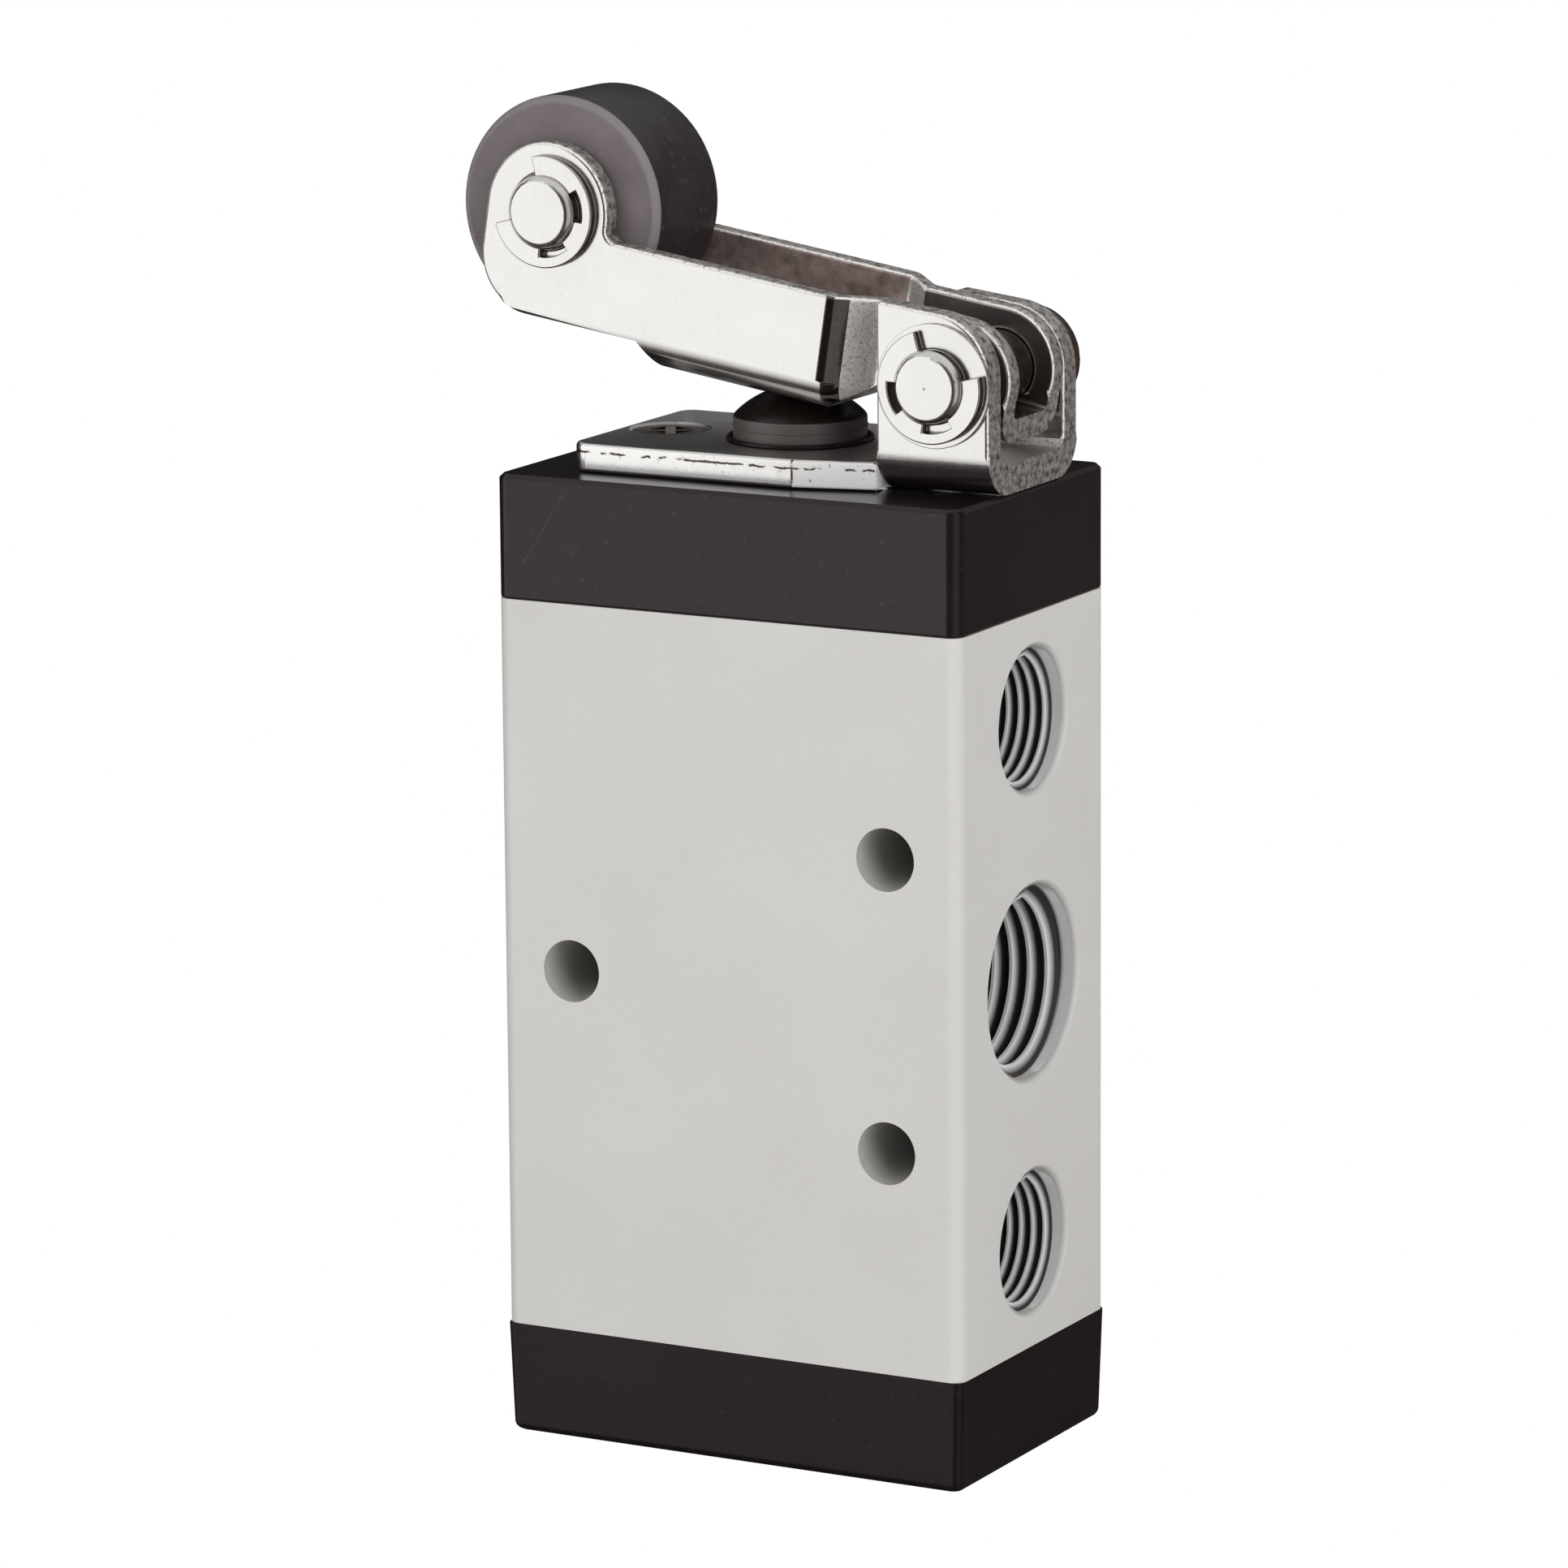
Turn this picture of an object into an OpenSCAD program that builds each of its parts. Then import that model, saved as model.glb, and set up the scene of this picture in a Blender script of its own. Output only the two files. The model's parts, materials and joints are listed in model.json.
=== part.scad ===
// Roller lever air valve with five ports and two positions.
// A roller on a lever presses a plunger, which pushes the spool down against a spring.
// Origin at the centre of the foot's lower face, +Z up the spool, +X towards the supply port,
// -Y towards the front. All sizes are in millimetres.

/* [Body] */
// Width of the body between its two port faces
body_w = 35; // [34:0.5:40]
// Depth of the body from front to back
body_d = 22; // [21.5:0.5:28]
// Height of the body between the caps
body_h = 50.5; // [50:0.5:58]
// Radius of the upright corners
corner_r = 1; // [0.6:0.1:2]

/* [Caps] */
// Height of the cap that carries the lever
top_cap_h = 8.5; // [8:0.1:11]
// Rounding of the top cap's upper edge
top_edge = 0.3; // [0.1:0.05:0.5]
// Height of the foot cap
foot_h = 7.75; // [7.25:0.05:10]
// Draft of the foot's sides in degrees
foot_draft = 1.5; // [0.5:0.5:4]
// Rounding of the foot's lower edge
foot_edge = 0.6; // [0.3:0.1:1.2]
// Radius of the foot's upright corners
foot_corner_r = 0.6; // [0.4:0.1:1]
// Floor of the foot below the spring
foot_floor = 2; // [1.6:0.1:3]
// Thickness of the gaskets under both caps
gasket_t = 0.5; // [0.3:0.1:0.8]

/* [Ports] */
// Diameter of the supply and outlet ports at the thread's root
main_port_d = 13.16; // [12:0.02:13.4]
// Depth of the supply and outlet ports
main_port_depth = 10; // [8:0.5:10.5]
// Diameter of the exhaust ports at the thread's root
exhaust_port_d = 9.73; // [9:0.01:10.2]
// Depth of the exhaust ports
exhaust_port_depth = 8; // [6:0.5:8.5]
// Countersink at the mouth of every port
port_chamfer = 0.35; // [0.1:0.05:0.5]
// Distance between the two exhaust ports
exhaust_span = 36; // [35:0.5:37]
// Distance between the two outlet ports
outlet_span = 20; // [18.5:0.5:22]
// Drilling from a main port to its chamber
main_passage_d = 6; // [4:0.5:7]
// Drilling from an exhaust port to its chamber
exhaust_passage_d = 5; // [3.5:0.5:5]

/* [Mounting holes] */
// Diameter of the three holes through the body
mount_hole_d = 4.3; // [3.4:0.1:4.5]
// Distance across, from the pair to the single hole
mount_span_x = 24; // [23.5:0.5:26]
// Distance between the holes of the pair
mount_span_z = 20; // [19:0.5:21]

/* [Spool] */
// Bore of the body
bore_d = 11; // [10.5:0.1:11.4]
// Travel of the spool
stroke = 3; // [2.5:0.1:3.2]
// Diameter of the chambers cut into the bore
chamber_d = 13.5; // [12.5:0.1:14]
// Length of each chamber along the bore
chamber_w = 4.5; // [4.2:0.1:4.8]
// Diameter of the spool between its collars
waist_d = 6; // [5:0.1:7]
// Section of the spool's sealing rings
seal_d = 1.75; // [1.5:0.05:1.9]
// Length of a collar that holds a sealing ring
collar_h = 3; // [2.8:0.1:3.2]
// Thickness of a collar's two flanges
flange_t = 0.5; // [0.4:0.05:0.5]

/* [Return spring] */
// Outer diameter of the spring
spring_d = 8; // [7:0.1:9]
// Wire of the spring
wire_d = 0.8; // [0.6:0.05:0.9]
// Spigots that centre the spring
spigot_d = 5; // [4:0.1:5.2]

/* [Plunger] */
// Diameter of the plunger
plunger_d = 9.06; // [8.6:0.02:9.4]
// Radius of the plunger's domed end
dome_r = 6.2; // [6:0.05:7.5]
// Thickness of the collar that keeps the plunger in
plunger_stop_t = 1.5; // [1:0.1:2]
// Thickness of the wiper ring round the plunger
wiper_t = 1.8; // [1.4:0.1:2]
// Width of the wiper ring's section
wiper_w = 1.2; // [1:0.1:1.3]

/* [Bracket] */
// Sheet thickness of the bracket
bracket_t = 2; // [1.6:0.1:2.2]
// Width of the bracket's plate
plate_w = 16; // [15:0.5:18]
// Reach of the plate to the left of the spool
plate_left = 13.3; // [13:0.1:15]
// Radius of the plate's outer corners
plate_r = 1.2; // [0.5:0.1:2]
// Place where the plate starts to narrow
taper_x = 3.6; // [3:0.1:6]
// Hole in the plate for the plunger
plate_hole_d = 10; // [9.8:0.1:10.2]
// Width over the two ears
clevis_w = 13.2; // [12.8:0.1:14]
// Outer radius of the bends
bend_r = 2.9; // [2.6:0.1:3.4]
// Width of the ears from left to right
ear_w = 8.3; // [8.1:0.1:8.6]
// Ears' right edge inside the cap's right face
ear_in = 0; // [-0.4:0.1:0.2]
// Height of the ears' sharp corner above the cap
ear_h = 12.75; // [12.25:0.05:13.5]
// Height that the back ear lacks
back_ear_drop = 0.7; // [0:0.1:1]
// Radius of the ears' round corner
ear_r = 4.3; // [3.5:0.1:4.6]
// Fall of the ears' upper edge in degrees
ear_slope = 7; // [2:0.5:8]
// Distance between the bracket's two screws
bracket_screw_span = 20; // [19.4:0.1:20.4]

/* [Lever] */
// Pivot inside the cap's right face
pivot_in = 3.95; // [3.9:0.05:4.3]
// Pivot above the top cap
pivot_h = 7.4; // [7.3:0.1:8]
// Tilt of the lever at rest in degrees
lever_tilt = 8.8; // [8:0.1:10]
// Sheet thickness of the lever
lever_t = 1.6; // [1.4:0.1:1.8]
// Distance from pivot to roller axle along the lever
lever_reach = 30.65; // [30:0.05:36]
// Height of the roller axle over the pivot, square to the lever
axle_rise = 5.2; // [4.5:0.1:6]
// Height of the lever's upper edge over the pivot
arm_top = 4.1; // [3.7:0.05:4.2]
// Depth of the lever's web under the pivot
web_drop = 3.7; // [3.55:0.05:3.85]
// Depth of the walls' lower edge beside the roller
wall_drop = 2.05; // [1.8:0.05:2.3]
// Radius of the eye round the roller axle
lobe_r = 4.65; // [4.4:0.05:5]
// Radius of the lever's lower end corner
tail_r = 4; // [2.5:0.1:4.2]
// Blend between the eye and the upper edge
notch_r = 0.8; // [0.5:0.1:1.5]
// Outer radius of the lever's bends
lever_bend_r = 2; // [1.9:0.1:2.4]
// Gap between the roller and the end of the web
web_gap = 2; // [1.5:0.1:3]
// Distance from the pivot to the step in the walls
step_u = 8.6; // [8.4:0.1:9.5]
// Distance from the pivot to the deepest part of the relief under the walls
relief_u = 5.6; // [5.2:0.1:6.2]
// Depth of the walls' edge in that relief, under the pivot
relief_drop = 1.6; // [1.4:0.1:2]
// Distance from the pivot to the web under it
foot_web_u = 3.4; // [3:0.1:3.8]
// Reach of the lever beyond the pivot
lever_end = 3.9; // [3.8:0.05:4.1]
// Lever's place in its side play, towards the back
lever_shift = 0.35; // [0:0.05:0.4]

/* [Roller and pins] */
// Diameter of the roller
roller_d = 15.2; // [14:0.1:15.6]
// Width of the roller
roller_w = 8.7; // [8:0.1:9]
// Roller's place in its side play, from -1 at the front wall to 1 at the back wall
roller_side = -0.6; // [-0.8:0.1:0.8]
// Bevel of the roller's edges
roller_bevel = 0.35; // [0.1:0.05:0.8]
// Diameter of the pivot pin and the roller axle
pin_d = 5; // [4.6:0.1:5.2]
// Diameter of both pins' heads
pin_head_d = 7.2; // [6.6:0.1:7.6]
// Thickness of both pins' heads
pin_head_t = 1.2; // [0.8:0.1:1.6]
// Chamfer on the pins' ends
pin_chamfer = 0.5; // [0.3:0.05:0.55]
// Length of each pin beyond its clip
pin_tail = 0.6; // [0.6:0.1:1.2]
// Outer diameter of the retaining clips
clip_d = 7.6; // [7.2:0.1:8]
// Thickness of the retaining clips
clip_t = 0.6; // [0.5:0.05:0.8]
// Diameter at the bottom of the clips' grooves
groove_d = 3.7; // [3.4:0.1:4]
// Outer diameter of the washer on the pivot
washer_d = 8.3; // [8:0.1:8.4]
// Thickness of the washer on the pivot
washer_t = 0.3; // [0.2:0.05:0.6]

/* [Screws] */
// Thread of the bracket's screws
bracket_screw_d = 3; // [2.5:0.1:3.2]
// Head of the bracket's screws
bracket_head_d = 5.6; // [5:0.1:6]
// Grip of the bracket's screws in the cap
bracket_grip = 6; // [5:0.5:6.5]
// Thread of the screws that hold the top cap
cap_screw_d = 2.5; // [2:0.1:2.6]
// Head of the screws that hold the top cap
cap_head_d = 4.7; // [4.2:0.1:4.8]
// Grip of the cap's screws in the body
cap_grip = 5.5; // [4.5:0.5:6]
// Thread of the foot's screws
foot_screw_d = 3; // [2.5:0.1:3.2]
// Head of the foot's screws
foot_head_d = 5.5; // [5:0.1:5.8]
// Height of the foot's screw heads
foot_head_h = 2.4; // [2:0.1:2.8]
// Grip of the foot's screws in the body
foot_grip = 6; // [5:0.5:6.5]

/* [Clearances] */
// Radial play of a screw or clip in its seat
seat_gap = 0.02; // [0.01:0.01:0.05]
// Radial play of a pin in its hole
run_gap = 0.04; // [0.02:0.01:0.08]
// Radial play of the plunger in the cap
guide_gap = 0.1; // [0.05:0.05:0.2]
// Radial play of the spool's collars in the bore
collar_gap = 0.15; // [0.1:0.05:0.2]
// Play on each side of the roller
roller_gap = 0.55; // [0.3:0.05:0.6]
// Play between the lever and each ear
ear_gap = 0.55; // [0.5:0.05:0.7]
// Air between the lever and the plunger at rest
touch_gap = 0.05; // [0.03:0.01:0.1]

/* [Hidden] */
$fn = 48;
hull_fn = 32;
overcut = 1;
sliver = 0.01;

// Levels up the axis of the spool
body_z0 = foot_h;
body_z1 = body_z0 + body_h;
mid_z = body_z0 + body_h / 2;
cap_z = body_z1 + top_cap_h;
plate_z = cap_z + bracket_t;
pivot_z = cap_z + pivot_h;

// The ears and the pivot keep their places beside the cap's right face
pivot_x = body_w / 2 - pivot_in;
ear_x1 = body_w / 2 - ear_in;
ear_x0 = ear_x1 - ear_w;

// Roller axle in the lever's plane and in the part's frame
axle_x = pivot_x - lever_reach * cos(lever_tilt) + axle_rise * sin(lever_tilt);
axle_z = pivot_z + lever_reach * sin(lever_tilt) + axle_rise * cos(lever_tilt);

// Widths of the lever, set by what it holds and by the ears that hold it
wide_w = roller_w + 2 * roller_gap + 2 * lever_t;
narrow_w = clevis_w - 2 * bracket_t - 2 * ear_gap;
step_len = (wide_w - narrow_w) / 2;
roller_y = lever_shift + roller_side * roller_gap;

// Chambers along the bore, from the upper exhaust to the lower one
chambers = [for (k = [-2:2]) mid_z + k * exhaust_span / 4];

// Sealing rings on the spool at rest: closed ones sit this far inside their land
land_in = 1.2;
land_out = stroke - land_in;
end_in = 1;
seals = [
    body_z1 - end_in,
    chambers[4] - chamber_w / 2 + land_out,
    chambers[2] + chamber_w / 2 + land_in,
    chambers[2] - chamber_w / 2 + land_out,
    chambers[0] + chamber_w / 2 + land_in,
    body_z0 + end_in + stroke
];
seal_outer_r = bore_d / 2 - seat_gap;
seal_groove_d = 2 * (seal_outer_r - seal_d - seat_gap);
spool_z0 = seals[5] - collar_h / 2;
spool_z1 = seals[0] + collar_h / 2;

// The plunger's dome touches the underside of the tilted web
dome_z = pivot_z
    + (pivot_x * sin(lever_tilt) - web_drop - touch_gap - dome_r) / cos(lever_tilt);
plunger_stop_d = bore_d - 2 * guide_gap;
pocket_room = 0.5;
pocket_d = bore_d + 2 * pocket_room;
pocket_z = spool_z1 + stroke + plunger_stop_t / 2;
stop_top_z = pocket_z - guide_gap;

// Foot cavity round the spring, and the spring's two ends
cavity_room = 0.2;
cavity_d = bore_d + 2 * cavity_room;
spigot_h = 1.2;
spring_turns = 4;
spring_sides = 8;
spring_steps = 20;
closed_pitch = 1.03 * wire_d;

// Screw places
cap_screw_x = 7.8;
cap_screw_y = 4.4;
foot_screw_in = 4.1;
foot_screw_x = body_w / 2 - foot_screw_in;
foot_screw_y = body_d / 2 - foot_screw_in;
foot_head_sink = 0.2;
foot_head_z = foot_head_h + foot_head_sink;
gasket_in = 1.5;
bracket_head_h = (bracket_head_d - bracket_screw_d) / 2;
cap_head_h = (cap_head_d - cap_screw_d) / 2;

// Clips open towards these directions, seen from the front
pivot_clip_turn = 60;
roller_clip_turn = 148;
clip_opening = 46;
clip_ring_w = 0.75;
window_turn = 42;
window_half = 21;
groove_w = clip_t + 2 * seat_gap;

// Plain shapes used by several pieces

module rounded_rect(w, d, r) {
    square([w - 2 * r, d], center = true);
    square([w, d - 2 * r], center = true);
    for (sx = [-1, 1], sy = [-1, 1])
        translate([sx * (w / 2 - r), sy * (d / 2 - r)]) circle(r);
}

// Solid channel section: flat top, round lower corners, its lower side on the x axis
module channel_section(w, h, r) {
    translate([-w / 2, r]) square([w, h - r]);
    translate([r - w / 2, 0]) square([w - 2 * r, h]);
    for (s = [-1, 1]) translate([s * (w / 2 - r), r]) circle(r);
}

// Turns a drawing in x and z into a solid along y, and one in y and z into a solid along x
module across(length) rotate([90, 0, 0]) linear_extrude(length, center = true) children();
module along(length) rotate([90, 0, 90]) linear_extrude(length) children();

module at_foot_screws() {
    for (sx = [-1, 1], sy = [-1, 1])
        translate([sx * foot_screw_x, sy * foot_screw_y, 0]) children();
}

module at_cap_screws() {
    for (s = [-1, 1]) translate([s * cap_screw_x, s * cap_screw_y, 0]) children();
}

module at_bracket_screws() {
    for (s = [-1, 1]) translate([s * bracket_screw_span / 2, 0, 0]) children();
}

// Countersunk screw hanging down from its flat head at z = 0
module flat_head_screw(d, head_d, length) {
    head_h = (head_d - d) / 2;
    translate([0, 0, -head_h]) cylinder(d1 = d, d2 = head_d, h = head_h);
    translate([0, 0, -length]) cylinder(d = d, h = length);
}

module flat_head_seat(d, head_d, length) {
    head_h = (head_d - d) / 2;
    translate([0, 0, -head_h])
        cylinder(d1 = d + 2 * seat_gap, d2 = head_d + 2 * seat_gap, h = head_h);
    cylinder(d = head_d + 2 * seat_gap, h = overcut);
    translate([0, 0, -length - seat_gap]) cylinder(d = d + 2 * seat_gap, h = length + seat_gap);
}

// Headed pin along +z from the face under its head, with a groove for a clip
module clip_pin(groove_z) {
    tail_z = groove_z + groove_w;
    translate([0, 0, -pin_head_t]) cylinder(d = pin_head_d, h = pin_head_t);
    cylinder(d = pin_d, h = groove_z);
    cylinder(d = groove_d, h = tail_z);
    translate([0, 0, tail_z]) cylinder(d = pin_d, h = pin_tail - pin_chamfer);
    translate([0, 0, tail_z + pin_tail - pin_chamfer])
        cylinder(d1 = pin_d, d2 = pin_d - 2 * pin_chamfer, h = pin_chamfer);
}

// Wedge from the origin, centred on +x
module wedge(r, half_angle) {
    polygon([
        [0, 0],
        r * [cos(half_angle), -sin(half_angle)],
        r * [1, 0],
        r * [cos(half_angle), sin(half_angle)]
    ]);
}

// Three-pronged clip, open towards +x, with a window on each side of its middle prong
module open_clip() {
    linear_extrude(clip_t) difference() {
        circle(d = clip_d);
        circle(groove_d / 2 + seat_gap);
        wedge(clip_d, clip_opening);
        for (s = [-1, 1]) intersection() {
            circle(clip_d / 2 - clip_ring_w);
            rotate(180 + s * window_turn) wedge(clip_d, window_half);
        }
    }
}

// Static pieces

module port(d, depth, passage_d) {
    reach = body_w / 2 - chamber_d / 2 + land_in / 2;
    translate([body_w / 2 - depth, 0, 0]) rotate([0, 90, 0]) cylinder(d = d, h = depth + overcut);
    translate([body_w / 2 - reach, 0, 0]) rotate([0, 90, 0]) cylinder(d = passage_d, h = reach);
    translate([body_w / 2 - port_chamfer, 0, 0]) rotate([0, 90, 0])
        cylinder(d1 = d, d2 = d + 2 * port_chamfer, h = port_chamfer);
}

module valve_body() {
    color([0.78, 0.77, 0.75]) difference() {
        translate([0, 0, body_z0]) linear_extrude(body_h) rounded_rect(body_w, body_d, corner_r);
        translate([0, 0, body_z0 - overcut]) cylinder(d = bore_d, h = body_h + 2 * overcut);
        for (z = chambers) translate([0, 0, z - chamber_w / 2]) cylinder(d = chamber_d, h = chamber_w);
        translate([0, 0, mid_z]) port(main_port_d, main_port_depth, main_passage_d);
        for (s = [-1, 1]) {
            translate([0, 0, mid_z + s * exhaust_span / 2])
                port(exhaust_port_d, exhaust_port_depth, exhaust_passage_d);
            translate([0, 0, mid_z + s * outlet_span / 2]) rotate([0, 0, 180])
                port(main_port_d, main_port_depth, main_passage_d);
            translate([mount_span_x / 2, 0, mid_z + s * mount_span_z / 2]) mount_hole();
        }
        translate([-mount_span_x / 2, 0, mid_z]) mount_hole();
        at_cap_screws() translate([0, 0, body_z1 - cap_grip - seat_gap])
            cylinder(d = cap_screw_d + 2 * seat_gap, h = cap_grip + overcut);
        at_foot_screws() translate([0, 0, body_z0 - overcut])
            cylinder(d = foot_screw_d + 2 * seat_gap, h = foot_grip + seat_gap + overcut);
    }
}

module mount_hole() rotate([90, 0, 0]) cylinder(d = mount_hole_d, h = body_d + 2 * overcut, center = true);

module top_cap() {
    guide_d = plunger_d + 2 * guide_gap;
    color([0.09, 0.08, 0.08]) difference() {
        hull($fn = hull_fn) {
            translate([0, 0, body_z1]) linear_extrude(top_cap_h - top_edge)
                rounded_rect(body_w, body_d, corner_r, $fn = hull_fn);
            translate([0, 0, body_z1]) linear_extrude(top_cap_h)
                rounded_rect(body_w - 2 * top_edge, body_d - 2 * top_edge, corner_r - top_edge, $fn = hull_fn);
        }
        translate([0, 0, body_z1 - overcut]) cylinder(d = guide_d, h = top_cap_h + 2 * overcut);
        translate([0, 0, body_z1 - overcut]) cylinder(d = pocket_d, h = pocket_z - body_z1 + overcut);
        translate([0, 0, cap_z - wiper_t - seat_gap])
            cylinder(d = plunger_d + 2 * wiper_w + 2 * seat_gap, h = wiper_t + overcut);
        translate([0, 0, body_z1 - overcut]) linear_extrude(gasket_t + overcut)
            rounded_rect(body_w - 2 * gasket_in, body_d - 2 * gasket_in, corner_r);
        at_cap_screws() translate([0, 0, cap_z])
            flat_head_seat(cap_screw_d, cap_head_d, top_cap_h + overcut);
        at_bracket_screws() translate([0, 0, cap_z - bracket_grip - seat_gap])
            cylinder(d = bracket_screw_d + 2 * seat_gap, h = bracket_grip + overcut);
    }
}

module foot_cap() {
    lean = foot_h * tan(foot_draft);
    color([0.09, 0.08, 0.08]) {
        difference() {
            hull($fn = hull_fn) {
                translate([0, 0, foot_h - sliver]) linear_extrude(sliver)
                    rounded_rect(body_w, body_d, foot_corner_r, $fn = hull_fn);
                for (a = [0:22.5:90]) {
                    inset = lean + foot_edge * (1 - cos(a));
                    translate([0, 0, foot_edge * (1 - sin(a))]) linear_extrude(sliver)
                        rounded_rect(body_w - 2 * inset, body_d - 2 * inset, foot_corner_r, $fn = hull_fn);
                }
            }
            translate([0, 0, foot_floor]) cylinder(d = cavity_d, h = foot_h);
            translate([0, 0, foot_h - gasket_t]) linear_extrude(gasket_t + overcut)
                rounded_rect(body_w - 2 * gasket_in, body_d - 2 * gasket_in, corner_r);
            at_foot_screws() {
                translate([0, 0, -overcut]) cylinder(d = foot_screw_d + 2 * seat_gap, h = foot_h + 2 * overcut);
                translate([0, 0, -overcut]) cylinder(d = foot_head_d + 2 * seat_gap, h = foot_head_z + overcut);
            }
        }
        translate([0, 0, foot_floor]) cylinder(d = spigot_d, h = spigot_h);
    }
}

module gasket(hole_d, screw_d) {
    linear_extrude(gasket_t) difference() {
        rounded_rect(body_w - 2 * gasket_in - 2 * seat_gap, body_d - 2 * gasket_in - 2 * seat_gap, corner_r);
        circle(d = hole_d);
        children();
    }
}

module top_gasket() {
    color([0.2, 0.2, 0.2]) translate([0, 0, body_z1]) gasket(pocket_d)
        at_cap_screws() circle(d = cap_screw_d + 2 * seat_gap);
}

module foot_gasket() {
    color([0.2, 0.2, 0.2]) translate([0, 0, body_z0 - gasket_t]) gasket(cavity_d)
        at_foot_screws() circle(d = foot_screw_d + 2 * seat_gap);
}

module cap_screws() {
    color("silver") at_cap_screws() translate([0, 0, cap_z - seat_gap])
        flat_head_screw(cap_screw_d, cap_head_d, top_cap_h + cap_grip - seat_gap);
}

module foot_screws() {
    color("silver") at_foot_screws() {
        translate([0, 0, foot_head_z - foot_head_h]) cylinder(d = foot_head_d, h = foot_head_h);
        translate([0, 0, foot_head_z]) cylinder(d = foot_screw_d, h = body_z0 + foot_grip - foot_head_z);
    }
}

// Bracket

module plate_outline() {
    inner_x = plate_r - plate_left;
    for (s = [-1, 1]) translate([inner_x, s * (plate_w / 2 - plate_r)]) circle(plate_r);
    translate([-plate_left, plate_r - plate_w / 2]) square([plate_r + sliver, plate_w - 2 * plate_r]);
    polygon([
        [inner_x, -plate_w / 2], [taper_x, -plate_w / 2], [ear_x0, -clevis_w / 2],
        [ear_x0, clevis_w / 2], [taper_x, plate_w / 2], [inner_x, plate_w / 2]
    ]);
}

// Ear in x and z from the plate's underside: sharp at the left, round at the right
module ear_outline(height) {
    round_x = ear_x1 - ear_r;
    tangent_x = round_x + ear_r * sin(ear_slope);
    tangent_z = height - (tangent_x - ear_x0) * tan(ear_slope);
    round_z = tangent_z - ear_r * cos(ear_slope);
    translate([round_x, round_z]) circle(ear_r);
    polygon([[ear_x0, 0], [ear_x1, 0], [ear_x1, round_z], [tangent_x, tangent_z], [ear_x0, height]]);
}

module lever_bracket() {
    color([0.8, 0.79, 0.77]) difference() {
        translate([0, 0, cap_z]) {
            linear_extrude(bracket_t) plate_outline();
            intersection() {
                translate([ear_x0, 0, 0]) along(ear_x1 - ear_x0) difference() {
                    channel_section(clevis_w, ear_h, bend_r);
                    translate([0, bracket_t]) channel_section(clevis_w - 2 * bracket_t, ear_h, bend_r - bracket_t);
                }
                union() {
                    translate([0, -clevis_w / 4, 0]) across(clevis_w / 2 + overcut) ear_outline(ear_h);
                    translate([0, clevis_w / 4, 0]) across(clevis_w / 2 + overcut)
                        ear_outline(ear_h - back_ear_drop);
                }
            }
        }
        translate([0, 0, cap_z - overcut]) cylinder(d = plate_hole_d, h = bracket_t + 2 * overcut);
        at_bracket_screws() translate([0, 0, plate_z])
            flat_head_seat(bracket_screw_d, bracket_head_d, bracket_t + overcut);
        translate([pivot_x, 0, pivot_z]) rotate([90, 0, 0])
            cylinder(d = pin_d + 2 * seat_gap, h = clevis_w + 2 * overcut, center = true);
    }
}

module bracket_screws() {
    color([0.6, 0.58, 0.55]) at_bracket_screws() translate([0, 0, plate_z - seat_gap])
        flat_head_screw(bracket_screw_d, bracket_head_d, bracket_t + bracket_grip - seat_gap);
}

module pivot_pin() {
    color("silver") translate([pivot_x, clevis_w / 2, pivot_z]) rotate([90, 0, 0])
        clip_pin(clevis_w + washer_t);
}

module pivot_washer() {
    color("silver") translate([pivot_x, -clevis_w / 2, pivot_z]) rotate([90, 0, 0])
        linear_extrude(washer_t) difference() {
            circle(d = washer_d);
            circle(d = pin_d + 2 * seat_gap);
        }
}

module pivot_clip() {
    color("silver") translate([pivot_x, -clevis_w / 2 - washer_t - seat_gap, pivot_z])
        rotate([90, 0, 0]) rotate(pivot_clip_turn) open_clip();
}

// Lever, drawn with its pivot at the origin and its length along x

module in_lever() translate([pivot_x, lever_shift, pivot_z]) rotate([0, lever_tilt, 0]) children();

module lever_outline() {
    left_u = -lever_reach - lobe_r;
    web_u = roller_d / 2 + web_gap - lever_reach;
    web_ramp = web_drop - wall_drop;
    notch_u = lobe_r - lever_reach;
    translate([left_u + tail_r, tail_r - wall_drop]) circle(tail_r);
    translate([-lever_reach, axle_rise]) circle(lobe_r);
    translate([left_u, tail_r - wall_drop]) square([2 * lobe_r, axle_rise + wall_drop - tail_r]);
    translate([notch_u, arm_top]) difference() {
        square(notch_r);
        translate([notch_r, notch_r]) circle(notch_r);
    }
    polygon([
        [left_u, arm_top], [left_u, tail_r - wall_drop], [left_u + tail_r, -wall_drop],
        [web_u - web_ramp, -wall_drop], [web_u, -web_drop], [-step_u, -web_drop],
        [-relief_u, -relief_drop], [0, -relief_drop], [0, arm_top]
    ]);
    circle(arm_top);
    translate([-foot_web_u, -web_drop]) square([foot_web_u + lever_end, web_drop]);
}

// Channel along the lever: wide round the roller, narrow between the ears
module lever_channel(inset, r) {
    left_u = -lever_reach - lobe_r - overcut;
    height = axle_rise + lobe_r + web_drop + overcut;
    step_end = step_len - step_u;
    translate([0, 0, inset - web_drop]) {
        translate([left_u, 0, 0]) along(-step_u - left_u) channel_section(wide_w - 2 * inset, height, r);
        hull($fn = hull_fn) {
            translate([-step_u - sliver, 0, 0]) along(sliver)
                channel_section(wide_w - 2 * inset, height, r, $fn = hull_fn);
            translate([step_end, 0, 0]) along(sliver)
                channel_section(narrow_w - 2 * inset, height, r, $fn = hull_fn);
        }
        translate([step_end, 0, 0]) along(lever_end + overcut - step_end)
            channel_section(narrow_w - 2 * inset, height, r);
    }
}

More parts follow.
